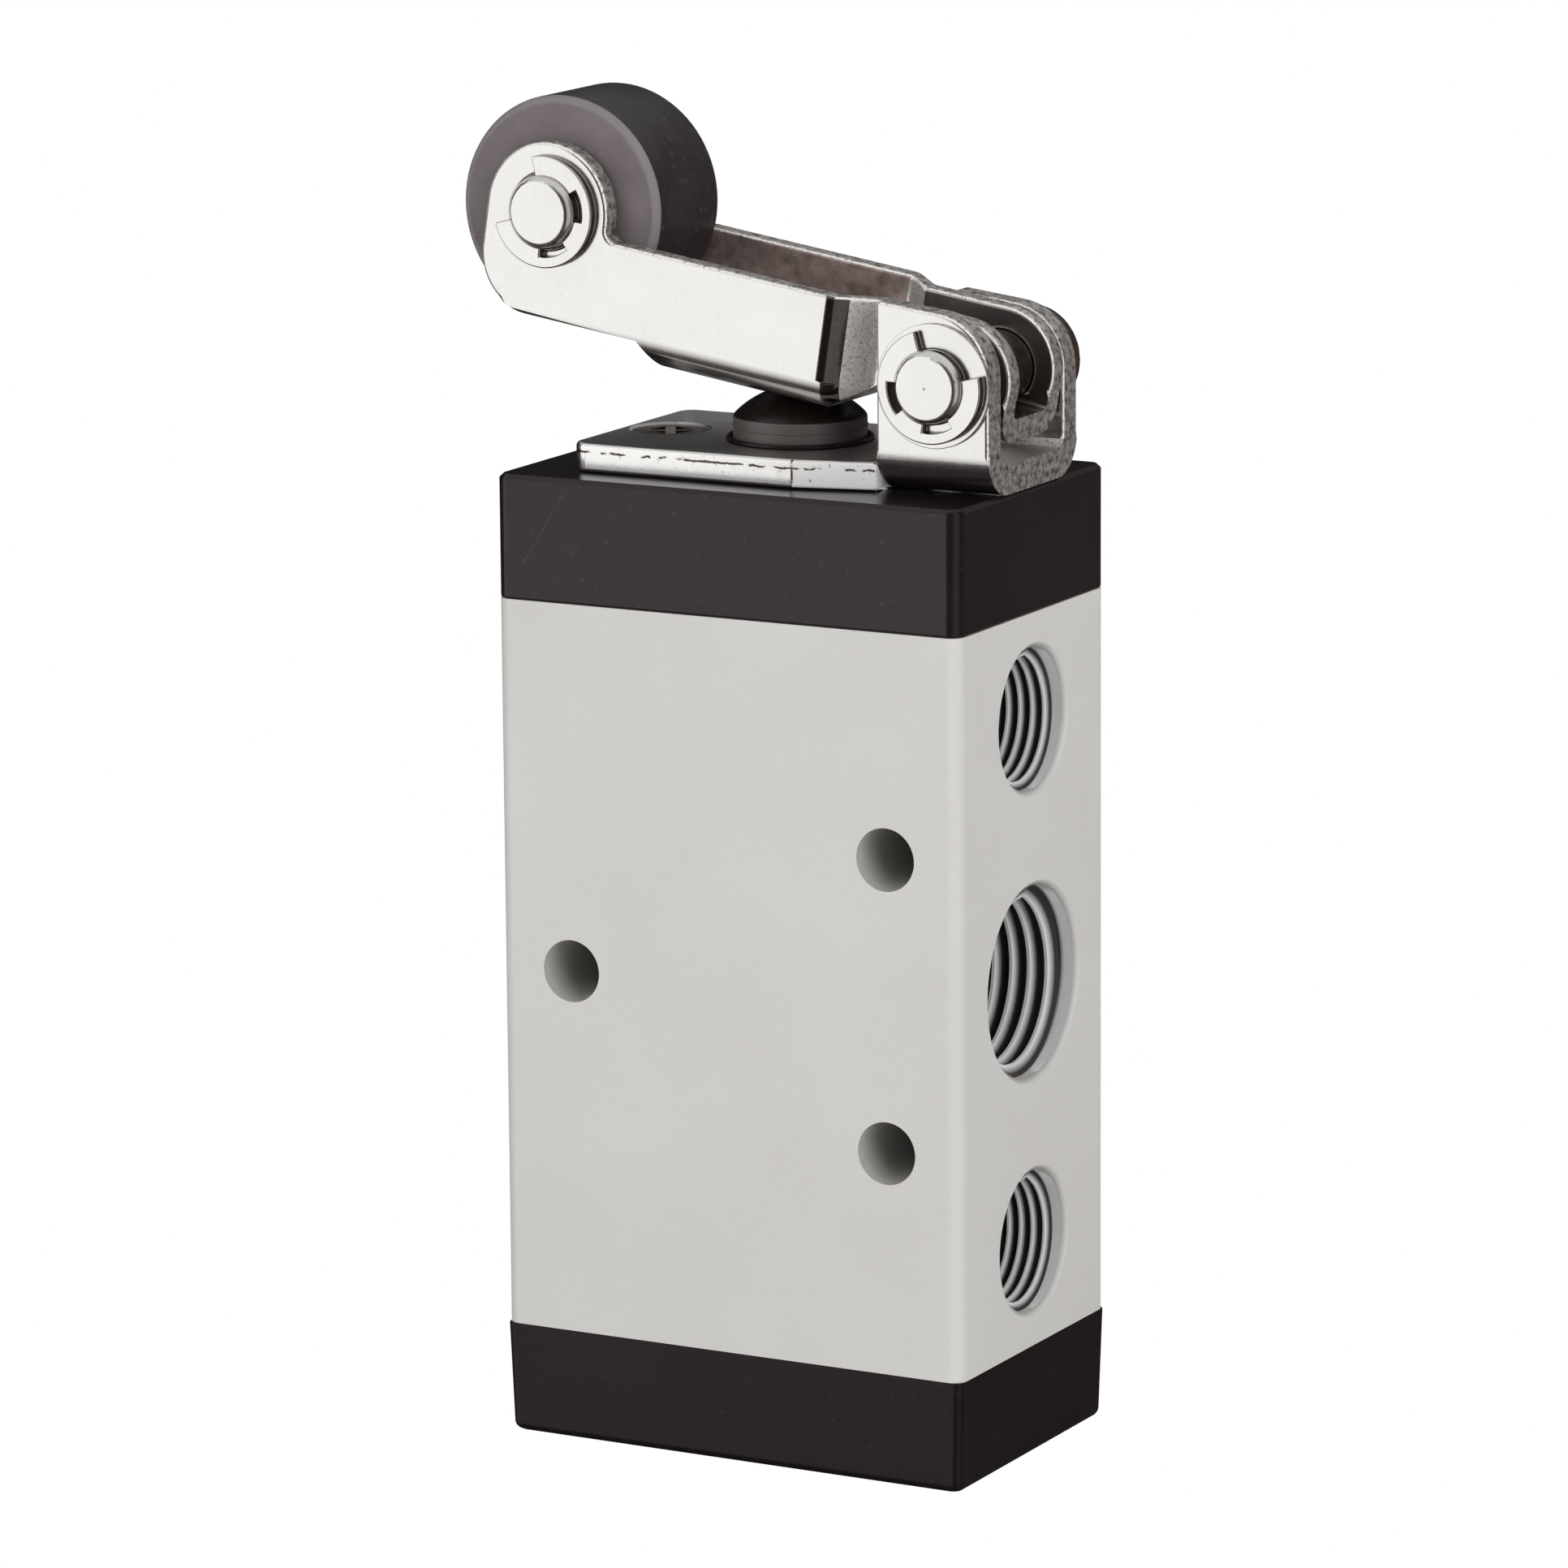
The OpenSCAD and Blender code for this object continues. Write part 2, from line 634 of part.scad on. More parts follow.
module lever() {
    web_u = roller_d / 2 + web_gap - lever_reach;
    slot_u = -lever_reach - lobe_r - overcut;
    color([0.82, 0.81, 0.79]) in_lever() difference() {
        intersection() {
            across(wide_w + overcut) lever_outline();
            lever_channel(0, lever_bend_r);
        }
        lever_channel(lever_t, lever_bend_r - lever_t);
        translate([slot_u, lever_t - wide_w / 2, -web_drop - overcut])
            cube([web_u - slot_u, wide_w - 2 * lever_t, web_drop + overcut]);
        rotate([90, 0, 0]) cylinder(d = pin_d + 2 * run_gap, h = wide_w + 2 * overcut, center = true);
        translate([-lever_reach, 0, axle_rise]) rotate([90, 0, 0])
            cylinder(d = pin_d + 2 * seat_gap, h = wide_w + 2 * overcut, center = true);
    }
}

module roller_axle() {
    color("silver") translate([axle_x, lever_shift + wide_w / 2, axle_z]) rotate([90, 0, 0]) clip_pin(wide_w);
}

module roller_clip() {
    color("silver") translate([axle_x, lever_shift - wide_w / 2 - seat_gap, axle_z])
        rotate([90, 0, 0]) rotate(roller_clip_turn) open_clip();
}

module roller() {
    bore_r = pin_d / 2 + run_gap;
    face_r = roller_d / 2 - roller_bevel;
    half = roller_w / 2;
    color([0.2, 0.18, 0.18]) translate([axle_x, roller_y, axle_z]) rotate([90, 0, 0]) rotate_extrude()
        polygon([
            [bore_r, -half], [face_r, -half], [roller_d / 2, roller_bevel - half],
            [roller_d / 2, half - roller_bevel], [face_r, half], [bore_r, half]
        ]);
}

// Plunger and spool

module plunger() {
    color([0.08, 0.07, 0.07]) {
        translate([0, 0, spool_z1]) cylinder(d = waist_d, h = stop_top_z - spool_z1);
        translate([0, 0, stop_top_z - plunger_stop_t]) cylinder(d = plunger_stop_d, h = plunger_stop_t);
        translate([0, 0, stop_top_z]) cylinder(d = plunger_d, h = dome_z - stop_top_z + sliver);
        translate([0, 0, dome_z]) intersection() {
            sphere(dome_r);
            cylinder(d = plunger_d, h = dome_r);
        }
    }
}

module plunger_wiper() {
    color([0.05, 0.05, 0.05]) translate([0, 0, cap_z - wiper_t]) linear_extrude(wiper_t) difference() {
        circle(d = plunger_d + 2 * wiper_w);
        circle(d = plunger_d + guide_gap);
    }
}

module spool() {
    color([0.75, 0.75, 0.77]) {
        translate([0, 0, spool_z0]) cylinder(d = waist_d, h = spool_z1 - spool_z0);
        translate([0, 0, spool_z0 - spigot_h]) cylinder(d = spigot_d, h = spigot_h);
        for (z = seals) translate([0, 0, z - collar_h / 2]) {
            cylinder(d = seal_groove_d, h = collar_h);
            for (edge = [0, collar_h - flange_t])
                translate([0, 0, edge]) cylinder(d = bore_d - 2 * collar_gap, h = flange_t);
        }
    }
}

module spool_seals() {
    color([0.05, 0.05, 0.05]) for (z = seals) translate([0, 0, z]) rotate_extrude()
        translate([seal_outer_r - seal_d / 2, 0]) circle(d = seal_d);
}

// Coil with one closed turn at each end, swept as rings round its wire
module return_spring() {
    coil_r = (spring_d - wire_d) / 2;
    rise = spool_z0 - foot_floor - 2 * seat_gap - wire_d;
    live_rise = (rise - 2 * closed_pitch) / (spring_turns - 2);
    count = spring_turns * spring_steps;
    level = function(turn) min(turn, 1) * closed_pitch
        + max(0, min(turn - 1, spring_turns - 2)) * live_rise
        + max(0, turn - spring_turns + 1) * closed_pitch;
    points = [for (i = [0:count], k = [0:spring_sides - 1])
        let (turn = i / spring_steps, a = 360 * turn, b = 360 * k / spring_sides, r = coil_r + wire_d / 2 * cos(b))
        [r * cos(a), r * sin(a), level(turn) + wire_d / 2 * sin(b)]];
    sides = [for (i = [0:count - 1], k = [0:spring_sides - 1])
        let (j = (k + 1) % spring_sides, p = i * spring_sides, q = p + spring_sides)
        [p + k, q + k, q + j, p + j]];
    start = [for (k = [0:spring_sides - 1]) k];
    end = [for (k = [spring_sides - 1:-1:0]) count * spring_sides + k];
    color("lightgray") translate([0, 0, foot_floor + seat_gap + wire_d / 2])
        polyhedron(points, concat(sides, [start, end]));
}

valve_body();
top_cap();
foot_cap();
top_gasket();
foot_gasket();
cap_screws();
foot_screws();
lever_bracket();
bracket_screws();
pivot_pin();
pivot_washer();
pivot_clip();
lever();
roller_axle();
roller_clip();
roller();
plunger();
plunger_wiper();
spool();
spool_seals();
return_spring();
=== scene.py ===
import json
import math

import bmesh
import bpy
from mathutils import Matrix, Vector


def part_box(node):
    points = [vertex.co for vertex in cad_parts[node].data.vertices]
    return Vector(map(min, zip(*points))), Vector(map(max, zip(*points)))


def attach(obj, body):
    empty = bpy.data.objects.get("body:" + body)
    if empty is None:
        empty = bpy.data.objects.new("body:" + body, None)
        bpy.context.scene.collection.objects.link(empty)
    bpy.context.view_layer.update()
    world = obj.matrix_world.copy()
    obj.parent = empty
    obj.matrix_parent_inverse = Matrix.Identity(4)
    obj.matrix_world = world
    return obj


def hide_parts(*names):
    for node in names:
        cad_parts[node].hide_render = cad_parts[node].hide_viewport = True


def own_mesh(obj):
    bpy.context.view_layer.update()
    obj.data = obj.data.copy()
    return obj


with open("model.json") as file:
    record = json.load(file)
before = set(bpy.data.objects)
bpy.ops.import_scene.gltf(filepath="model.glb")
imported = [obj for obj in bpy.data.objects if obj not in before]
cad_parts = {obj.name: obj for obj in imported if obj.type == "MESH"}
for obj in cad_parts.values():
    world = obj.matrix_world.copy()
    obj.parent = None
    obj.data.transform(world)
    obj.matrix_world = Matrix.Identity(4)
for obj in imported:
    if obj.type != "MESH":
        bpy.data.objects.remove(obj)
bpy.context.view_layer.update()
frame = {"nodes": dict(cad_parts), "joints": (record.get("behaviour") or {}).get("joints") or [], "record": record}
nodes = frame["nodes"]
scene = bpy.context.scene
scene.view_settings.view_transform = "Standard"
print("frame loaded with", len(nodes), "nodes")

mm = 0.001
merge = 0.0005 * mm  # new points nearer than this are one
mounts = {mount["name"]: mount for mount in frame["record"]["mounts"]}
pivots = {joint["name"]: tuple(joint["pos_m"]) for joint in frame["joints"] if "pos_m" in joint}
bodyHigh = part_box("valve_body")[1]  # half the body's width and depth
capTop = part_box("top_cap")[1].z


# materials

class Wire:  # one socket of a node tree, so that shader sums read as sums
    def __init__(self, tree, socket=None):
        self.tree = tree
        self.socket = socket

    def node(self, kind, settings=None, inputs=None, out=0):
        made = self.tree.nodes.new(kind)
        for key, value in (settings or {}).items():
            setattr(made, key, value)
        for key, value in (inputs or {}).items():
            if isinstance(value, Wire):
                self.tree.links.new(value.socket, made.inputs[key])
            else:
                made.inputs[key].default_value = value
        return Wire(self.tree, made.outputs[out])

    def sum(self, operation, left, right=0.0):
        return self.node("ShaderNodeMath", {"operation": operation}, {0: left, 1: right})

    def __add__(self, other):
        return self.sum("ADD", self, other)

    def __radd__(self, other):
        return self.sum("ADD", other, self)

    def __sub__(self, other):
        return self.sum("SUBTRACT", self, other)

    def __rsub__(self, other):
        return self.sum("SUBTRACT", other, self)

    def __mul__(self, other):
        return self.sum("MULTIPLY", self, other)

    def __rmul__(self, other):
        return self.sum("MULTIPLY", other, self)

    def __gt__(self, other):
        return self.sum("GREATER_THAN", self, other)

    def __lt__(self, other):
        return self.sum("LESS_THAN", self, other)

    def vector(self, operation, left, right=(0, 0, 0), out="Vector"):
        return self.node("ShaderNodeVectorMath", {"operation": operation}, {0: left, 1: right}, out)

    def coords(self):
        return self.node("ShaderNodeTexCoord", out="Object")

    def fromAxis(self, centre, across=(1, 0, 1)):  # metres from an axis through centre, along Y unless told
        moved = self.vector("SUBTRACT", self.coords(), centre)
        return self.vector("LENGTH", self.vector("MULTIPLY", moved, across), out="Value")

    def along(self, way):  # metres along a direction
        return self.vector("DOT_PRODUCT", self.coords(), way, out="Value")

    def line(self, way, place, width):  # 1 on a thin line across that direction, 0 beside it
        off = self.sum("ABSOLUTE", self.along(way) - place)
        return self.ramp(off, width, width * 0.5)

    def noise(self, size, detail=2.0, stretch=(1, 1, 1), turn=(0, 0, 0), roughness=0.5):
        places = {"Vector": self.coords(), "Scale": stretch, "Rotation": turn}
        return self.node("ShaderNodeTexNoise", None, {
            "Vector": self.node("ShaderNodeMapping", None, places),
            "Scale": 1 / size, "Detail": detail, "Roughness": roughness})

    def ramp(self, value, low, high):  # 0 at low, 1 at high, level beyond both
        return self.node("ShaderNodeMapRange", {"clamp": True}, {
            "Value": value, "From Min": low, "From Max": high, "To Min": 0.0, "To Max": 1.0})

    def blend(self, factor, first, second):
        return self.node("ShaderNodeMix", {"data_type": "RGBA"}, {0: factor, 6: first, 7: second}, out=2)

    def bump(self, height, strength, distance):
        inputs = {"Height": height, "Strength": strength, "Distance": distance}
        return self.node("ShaderNodeBump", None, inputs)


def colour(r, g, b, tone=1.0):
    return (r * tone, g * tone, b * tone, 1.0)


def newFinish(name, fixed):
    made = bpy.data.materials.new(name)
    made.use_nodes = True
    shader = made.node_tree.nodes["Principled BSDF"]
    for key, value in fixed.items():
        shader.inputs[key].default_value = value
    return made, Wire(made.node_tree), shader.inputs


def feed(inputs, links):
    for key, wire in links.items():
        wire.tree.links.new(wire.socket, inputs[key])


def nickelFinish(name, shine, pitting, dimpleShadeAt=None, tone=1.0):  # bright plate with a faint cross grain and pits
    made, w, inputs = newFinish(name, {"Metallic": 1.0})
    grain = w.noise(0.35 * mm, 3, stretch=(1.0, 1.0, 0.06), turn=(0, 0.15, 0))
    cloud = w.noise(4 * mm, 3)
    pits = w.ramp(w.noise(0.16 * mm, 2), 0.7, 0.78)
    patch = w.ramp(cloud, 0.35, 0.7) * 0.5 + w.ramp(grain, 0.3, 0.75) * 0.5
    base = w.blend(patch, colour(0.70, 0.685, 0.665, tone), colour(0.78, 0.77, 0.755, tone))
    if dimpleShadeAt:  # painted shade of the centre dimple on a turned pin
        mark = w.ramp(w.fromAxis(dimpleShadeAt), 0.14 * mm, 0.06 * mm)
        base = w.blend(mark * 0.7, base, colour(0.18, 0.15, 0.13))
    feed(inputs, {
        "Base Color": w.blend(pits * pitting, base, colour(0.34, 0.30, 0.28)),
        "Roughness": shine + grain * 0.10 + cloud * 0.05,
        "Normal": w.bump(grain * 0.5 + pits * -1.0, 0.12, 0.02 * mm)})
    return made


def bentFinish(name, spotted, peeled, shine, metal, tone=1.0):  # plate over a bend, with orange peel
    made, w, inputs = newFinish(name, {"Metallic": metal})
    peel = w.noise(0.30 * mm, 2, roughness=0.6)
    spots = w.ramp(w.noise(0.18 * mm, 2), 0.54, 0.66) * spotted
    feed(inputs, {
        "Base Color": w.blend(spots, colour(0.74, 0.72, 0.695, tone), colour(0.24, 0.205, 0.185)),
        "Roughness": shine + peel * 0.12,
        "Normal": w.bump(peel, peeled, 0.06 * mm)})
    return made


plateRim = {"tear": 68.15 * mm, "wander": 0.35 * mm, "wide": 0.11 * mm, "turn": 3.6 * mm}


def rimFinish(name, use, shine, dusty, metal):  # the plate's edge: bright, with a torn line below its top
    made, w, inputs = newFinish(name, {"Metallic": metal})
    wave = w.noise(0.8 * mm, 3, roughness=0.7)
    torn = w.sum("ABSOLUTE", w.along((0, 0, 1)) - use["tear"] + (wave - 0.5) * use["wander"])
    torn = w.ramp(torn, use["wide"], use["wide"] * 0.4) * w.ramp(w.noise(1.1 * mm, 2), 0.43, 0.50)
    mark = w.line((1, 0, 0), use["turn"], use["wide"]) * w.ramp(w.noise(0.7 * mm, 2), 0.30, 0.42)
    dust = w.ramp(w.noise(0.3 * mm, 2), 0.66, 0.74) * dusty
    dirt = w.sum("MAXIMUM", w.sum("MAXIMUM", torn, mark), dust)
    feed(inputs, {
        "Base Color": w.blend(dirt, colour(0.80, 0.79, 0.78), colour(0.06, 0.045, 0.035)),
        "Roughness": shine + wave * 0.1,
        "Normal": w.bump(wave, 0.12, 0.04 * mm)})
    return made


def edgeFinish(name):  # sheared and plated edges: dull, with torn streaks
    made, w, inputs = newFinish(name, {"Metallic": 0.8})
    streak = w.noise(0.36 * mm, 4, roughness=0.65)
    torn = w.ramp(w.noise(0.45 * mm, 4, roughness=0.65), 0.36, 0.58)
    feed(inputs, {
        "Base Color": w.blend(torn, colour(0.17, 0.145, 0.13), colour(0.72, 0.69, 0.67)),
        "Roughness": 0.30 + streak * 0.22,
        "Normal": w.bump(streak, 0.6, 0.07 * mm)})
    return made


def bodyFinish(name, dark, light, gloss):  # satin light grey anodising
    made, w, inputs = newFinish(name, {"Specular IOR Level": gloss})
    drift = w.noise(12 * mm, 2)
    fine = w.noise(0.22 * mm, 3, stretch=(0.35, 0.35, 1.0))
    tone = w.ramp(drift, 0.3, 0.7) * 0.6 + w.ramp(fine, 0.25, 0.75) * 0.4
    feed(inputs, {
        "Base Color": w.blend(tone, dark, light),
        "Roughness": 0.42 + fine * 0.16,
        "Normal": w.bump(fine, 0.10, 0.02 * mm)})
    return made


def alloyFinish(name, bright):  # bare cut aluminium, with painted shade where bright gives nothing
    made, w, inputs = newFinish(name, {"Metallic": 0.4})
    turned = w.noise(0.4 * mm, 3, stretch=(1.0, 0.15, 0.15))
    tone = bright(w) * (0.88 + turned * 0.24)
    feed(inputs, {
        "Base Color": w.blend(tone, colour(0.055, 0.050, 0.050), colour(0.93, 0.93, 0.945)),
        "Roughness": 0.18 + turned * 0.08})
    return made


portMouth = {"dark": 1.3 * mm, "pale": 1 * mm}  # depths below the body's side where the painted shade is full and where it ends


def portFinish(name, use):  # painted shade: pale at the mouth, dark deeper in, towards the thread's root
    def bright(w):
        side = w.sum("ABSOLUTE", w.along((1, 0, 0)))
        return w.ramp(side, bodyHigh.x - use["dark"], bodyHigh.x - use["pale"])

    return alloyFinish(name, bright)


threadShade = {"root": 0.35, "crest": 0.1}  # shares of the thread's height that stay dark or bright


def threadFinish(name, use, height, root, crest):  # painted highlight on the crests, painted shade down the flanks
    deep = root - crest

    def bright(w):
        radius = w.fromAxis((0, 0, height * mm), across=(0, 1, 1))
        return w.ramp(radius, (root - use["root"] * deep) * mm, (crest + use["crest"] * deep) * mm)

    return alloyFinish(name, bright)


capScratch = {  # hairline on the cap's front, leaning to the left
    "across": (0.84, 0, -0.543), "along": (0.543, 0, 0.84), "place": -45.9 * mm,
    "from": 42.6 * mm, "to": 48.9 * mm, "wide": 0.05 * mm, "strength": 0.22,
}


def blackFinish(name, dark, light, shine, gloss, speckle, scratch=None):  # satin black with dust specks
    pinkish = colour(1.0, 0.84, 0.92)
    made, w, inputs = newFinish(name, {"Specular IOR Level": gloss, "Specular Tint": pinkish})
    drift = w.noise(7 * mm, 3)
    fine = w.noise(0.12 * mm, 2)
    marks = w.ramp(w.noise(0.45 * mm, 1), 0.70, 0.76) * speckle
    if scratch:
        reach = w.along(scratch["along"])
        hair = w.line(scratch["across"], scratch["place"], scratch["wide"])
        hair = hair * (reach > scratch["from"]) * (reach < scratch["to"])
        broken = w.ramp(w.noise(0.8 * mm, 2), 0.3, 0.6)
        marks = w.sum("MAXIMUM", marks, hair * broken * scratch["strength"])
    tone = w.blend(w.ramp(drift, 0.3, 0.7), dark, light)
    feed(inputs, {
        "Base Color": w.blend(marks, tone, colour(0.14, 0.13, 0.13)),
        "Roughness": shine + drift * 0.1 + fine * 0.08,
        "Normal": w.bump(fine, 0.08, 0.02 * mm)})
    return made


rollerRimHighlight = {"from": 6.98 * mm, "to": 7.22 * mm}  # radii of the painted highlight on the rounding


def rollerFinish(name, dark, light, shine, rim):  # moulded nylon, a little scuffed, with a painted highlight at its rim
    made, w, inputs = newFinish(name, {"Specular IOR Level": 0.45})
    drift = w.noise(3 * mm, 3)
    fine = w.noise(0.15 * mm, 2)
    scuff = w.ramp(w.noise(0.7 * mm, 4, roughness=0.7), 0.60, 0.75)
    outer = w.ramp(w.fromAxis(pivots["roller_spin"]), rollerRimHighlight["from"], rollerRimHighlight["to"]) * rim
    tone = w.blend(w.ramp(drift, 0.3, 0.7), dark, light)
    feed(inputs, {
        # real scuffs and the painted rim highlight both lift the colour towards the same pale grey
        "Base Color": w.blend(scuff * 0.35 + outer, tone, colour(0.23, 0.215, 0.22)),
        "Roughness": shine + drift * 0.15 + fine * 0.1,
        "Normal": w.bump(fine, 0.1, 0.03 * mm)})
    return made


def rubberFinish(name):
    made, w, inputs = newFinish(name, {"Specular IOR Level": 0.3})
    fine = w.noise(0.2 * mm, 3)
    feed(inputs, {
        "Base Color": w.blend(fine, colour(0.012, 0.012, 0.012), colour(0.03, 0.029, 0.028)),
        "Roughness": 0.6 + fine * 0.2,
        "Normal": w.bump(fine, 0.1, 0.02 * mm)})
    return made


def steelFinish(name, dark, light, shine, metal=1.0):  # screws, spool, spring, and painted shade: the shaded plate inside the lever and the sides of pins and clips
    made, w, inputs = newFinish(name, {"Metallic": metal})
    worn = w.noise(0.8 * mm, 4)
    feed(inputs, {
        "Base Color": w.blend(w.ramp(worn, 0.3, 0.7), dark, light),
        "Roughness": shine + worn * 0.15,
        "Normal": w.bump(worn, 0.15, 0.03 * mm)})
    return made


finishes = {
    "nickel": nickelFinish("brightNickel", shine=0.13, pitting=0.4),
    "pin": nickelFinish("pinNickel", shine=0.13, pitting=0.3, dimpleShadeAt=pivots["lever_pivot"]),
    "plate": nickelFinish("dullNickel", shine=0.29, pitting=0.2),
    # a darker copy of the nickel for the faces inside the lever's wide part: painted shade
    "inner": nickelFinish("shadedNickel", shine=0.25, pitting=0.4, tone=0.45),
    "bent": bentFinish("bentNickel", spotted=0.8, peeled=0.5, shine=0.22, metal=0.45, tone=1.2),
    "joggle": bentFinish("joggleNickel", spotted=0.6, peeled=0.5, shine=0.26, metal=0.62),
    # a near-black copy of the bent plate: painted dark reflection in a strip just past the first bend
    "fold": bentFinish("foldNickel", spotted=0.3, peeled=0.12, shine=0.05, metal=1.0, tone=0.16),
    "rim": rimFinish("brightRim", plateRim, shine=0.17, dusty=0.3, metal=1.0),
    "taper": rimFinish("roughRim", plateRim, shine=0.45, dusty=0.8, metal=0.25),
    "edge": edgeFinish("shearedEdge"),
    "body": bodyFinish("greyAnodised", dark=colour(0.555, 0.54, 0.515), light=colour(0.60, 0.588, 0.565),
                       gloss=0.4),
    # a darker copy of the body grey for the bolt holes' walls: painted shade
    "bore": bodyFinish("boredGrey", dark=colour(0.40, 0.387, 0.37), light=colour(0.45, 0.437, 0.42),
                       gloss=0.3),
    "alloy": portFinish("portAlloy", portMouth),
    "cap": blackFinish("blackAnodised", dark=colour(0.007, 0.005, 0.006), light=colour(0.011, 0.008, 0.009),
                       shine=0.12, gloss=0.40, speckle=0.08, scratch=capScratch),
    "foot": blackFinish("blackMoulded", dark=colour(0.006, 0.0045, 0.005), light=colour(0.009, 0.007, 0.008),
                        shine=0.24, gloss=0.25, speckle=0.06),
    "plunger": blackFinish("plungerSide", dark=colour(0.076, 0.065, 0.063), light=colour(0.102, 0.089, 0.087),
                           shine=0.30, gloss=0.45, speckle=0.1),
    # a darker copy of the plunger's black: painted shade on the dome under the lever
    "dome": blackFinish("plungerDome", dark=colour(0.008, 0.005, 0.004), light=colour(0.012, 0.009, 0.008),
                        shine=0.2, gloss=0.3, speckle=0.1),
    "face": rollerFinish("rollerFace", dark=colour(0.122, 0.102, 0.106), light=colour(0.158, 0.133, 0.138),
                         shine=0.45, rim=0.55),
    "tread": rollerFinish("rollerTread", dark=colour(0.020, 0.016, 0.0165),
                          light=colour(0.030, 0.025, 0.0255), shine=0.32, rim=0.0),
    "rubber": rubberFinish("blackRubber"),
    "screw": steelFinish("screwSteel", dark=colour(0.42, 0.39, 0.36), light=colour(0.66, 0.63, 0.60),
                         shine=0.22),
    # dark brown nickel for the faces inside the lever's narrow part: painted shade
    "hollow": steelFinish("hollowNickel", dark=colour(0.20, 0.15, 0.136), light=colour(0.38, 0.295, 0.27),
                          shine=0.28, metal=0.55),
    # dark brown for the sides of the pin and clips: painted shade
    "shaft": steelFinish("oiledShaft", dark=colour(0.16, 0.13, 0.105), light=colour(0.30, 0.26, 0.22),
                         shine=0.2),
    "spring": steelFinish("springWire", dark=colour(0.5, 0.5, 0.5), light=colour(0.68, 0.68, 0.67),
                          shine=0.25),
    "spool": steelFinish("turnedSpool", dark=colour(0.62, 0.62, 0.63), light=colour(0.75, 0.75, 0.76),
                         shine=0.25),
}
print("finishes made:", len(finishes))


# pieces

def keep(bm, name, body, finish, stands=(), smooth=32, even=False):
    mesh = bpy.data.meshes.new(name)
    bm.to_mesh(mesh)
    bm.free()
    for key in finish:
        mesh.materials.append(finishes[key])
    mesh.shade_smooth()
    mesh.set_sharp_from_angle(angle=math.radians(smooth))
    piece = bpy.data.objects.new(name, mesh)
    scene.collection.objects.link(piece)
    if even:  # flat faces stay flat beside their rounded edges
        level = piece.modifiers.new("evenShading", "WEIGHTED_NORMAL")
        level.keep_sharp = True
        level.weight = 100
    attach(piece, body)
    if stands:
        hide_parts(*stands)
    return piece


def mergedCopy(node):  # the node's triangles, joined where their points meet
    bm = bmesh.new()
    bm.from_mesh(nodes[node].data)
    bmesh.ops.remove_doubles(bm, verts=bm.verts[:], dist=2 * merge)
    return bm


def solidCopy(node):  # the node with its triangles joined into flat faces
    bm = mergedCopy(node)
    bmesh.ops.dissolve_degenerate(bm, dist=0.03 * mm, edges=bm.edges[:])
    bmesh.ops.dissolve_limit(bm, angle_limit=math.radians(1.0), verts=bm.verts[:], edges=bm.edges[:])
    return bm


def soften(bm, width, corner=35, segments=2, chosen=None, clamp=True):
    edges = [e for e in bm.edges if len(e.link_faces) == 2 and e.calc_face_angle() > math.radians(corner)]
    if chosen:
        edges = [e for e in edges if chosen(e)]
    bmesh.ops.bevel(bm, geom=edges, offset=width, offset_type="OFFSET", affect="EDGES", segments=segments,
                    profile=0.5, material=-1, clamp_overlap=clamp)


def paint(bm, finish, pick):  # each face takes the finish that pick names
    for f in bm.faces:
        f.material_index = finish.index(pick(f))
    return finish


# how squarely a face looks along Y, from cut edges to flat sheet
facing = {"cut": 0.3, "slant": 0.5, "wall": 0.6, "side": 0.93, "flat": 0.995}

capSettings = {"edge": 0.2 * mm, "corner": 0.4 * mm, "level": 0.05 * mm, "cornerX": 15 * mm, "outer": 0.95}


def capPiece(use):  # narrow dark rounding along the top, wider at the upright corners
    bm = solidCopy("top_cap")

    def upright(e):
        ends = [v.co for v in e.verts]
        return (ends[0].xy - ends[1].xy).length < use["level"] and abs(ends[0].x) > use["cornerX"]

    def outer(e):
        return all(max(abs(v.co.x) / bodyHigh.x, abs(v.co.y) / bodyHigh.y) > use["outer"] for v in e.verts)

    soften(bm, use["corner"], corner=20, segments=4, chosen=upright, clamp=False)
    soften(bm, use["edge"], corner=50, segments=3, chosen=outer, clamp=False)
    keep(bm, "soft_top_cap", "housing", ["cap"], stands=["top_cap"], even=True)


capPiece(capSettings)

footSettings = {"edge": 0.1 * mm}


def footPiece(use):
    bm = solidCopy("foot_cap")
    soften(bm, use["edge"])
    keep(bm, "soft_foot_cap", "housing", ["foot"], stands=["foot_cap"], even=True)


footPiece(footSettings)

plungerSettings = {"edge": 0.15 * mm, "domeRise": 0.25}


def plungerPiece(use):  # dull side; the dome a darker copy of the same black, painted shade under the lever
    bm = solidCopy("plunger")
    soften(bm, use["edge"])
    finish = paint(bm, ["plunger", "dome"], lambda f: "dome" if f.normal.z > use["domeRise"] else "plunger")
    keep(bm, "soft_plunger", "plunger", finish, stands=["plunger"], even=True)


plungerPiece(plungerSettings)
print("caps and plunger rounded")

pinNodes = {  # turned and stamped pieces: bright faces, dull sides; the pin's and clips' sides take a dark brown as painted shade
    "pivot_pin": {"width": 0.06 * mm, "body": "housing", "face": "pin", "side": "shaft"},
    "pivot_washer": {"width": 0.06 * mm, "body": "housing", "face": "nickel", "side": "edge"},
    "pivot_clip": {"width": 0.12 * mm, "body": "housing", "face": "nickel", "side": "shaft"},
    "roller_axle": {"width": 0.06 * mm, "body": "lever", "face": "nickel", "side": "screw"},
    "roller_clip": {"width": 0.12 * mm, "body": "lever", "face": "nickel", "side": "shaft"},
}


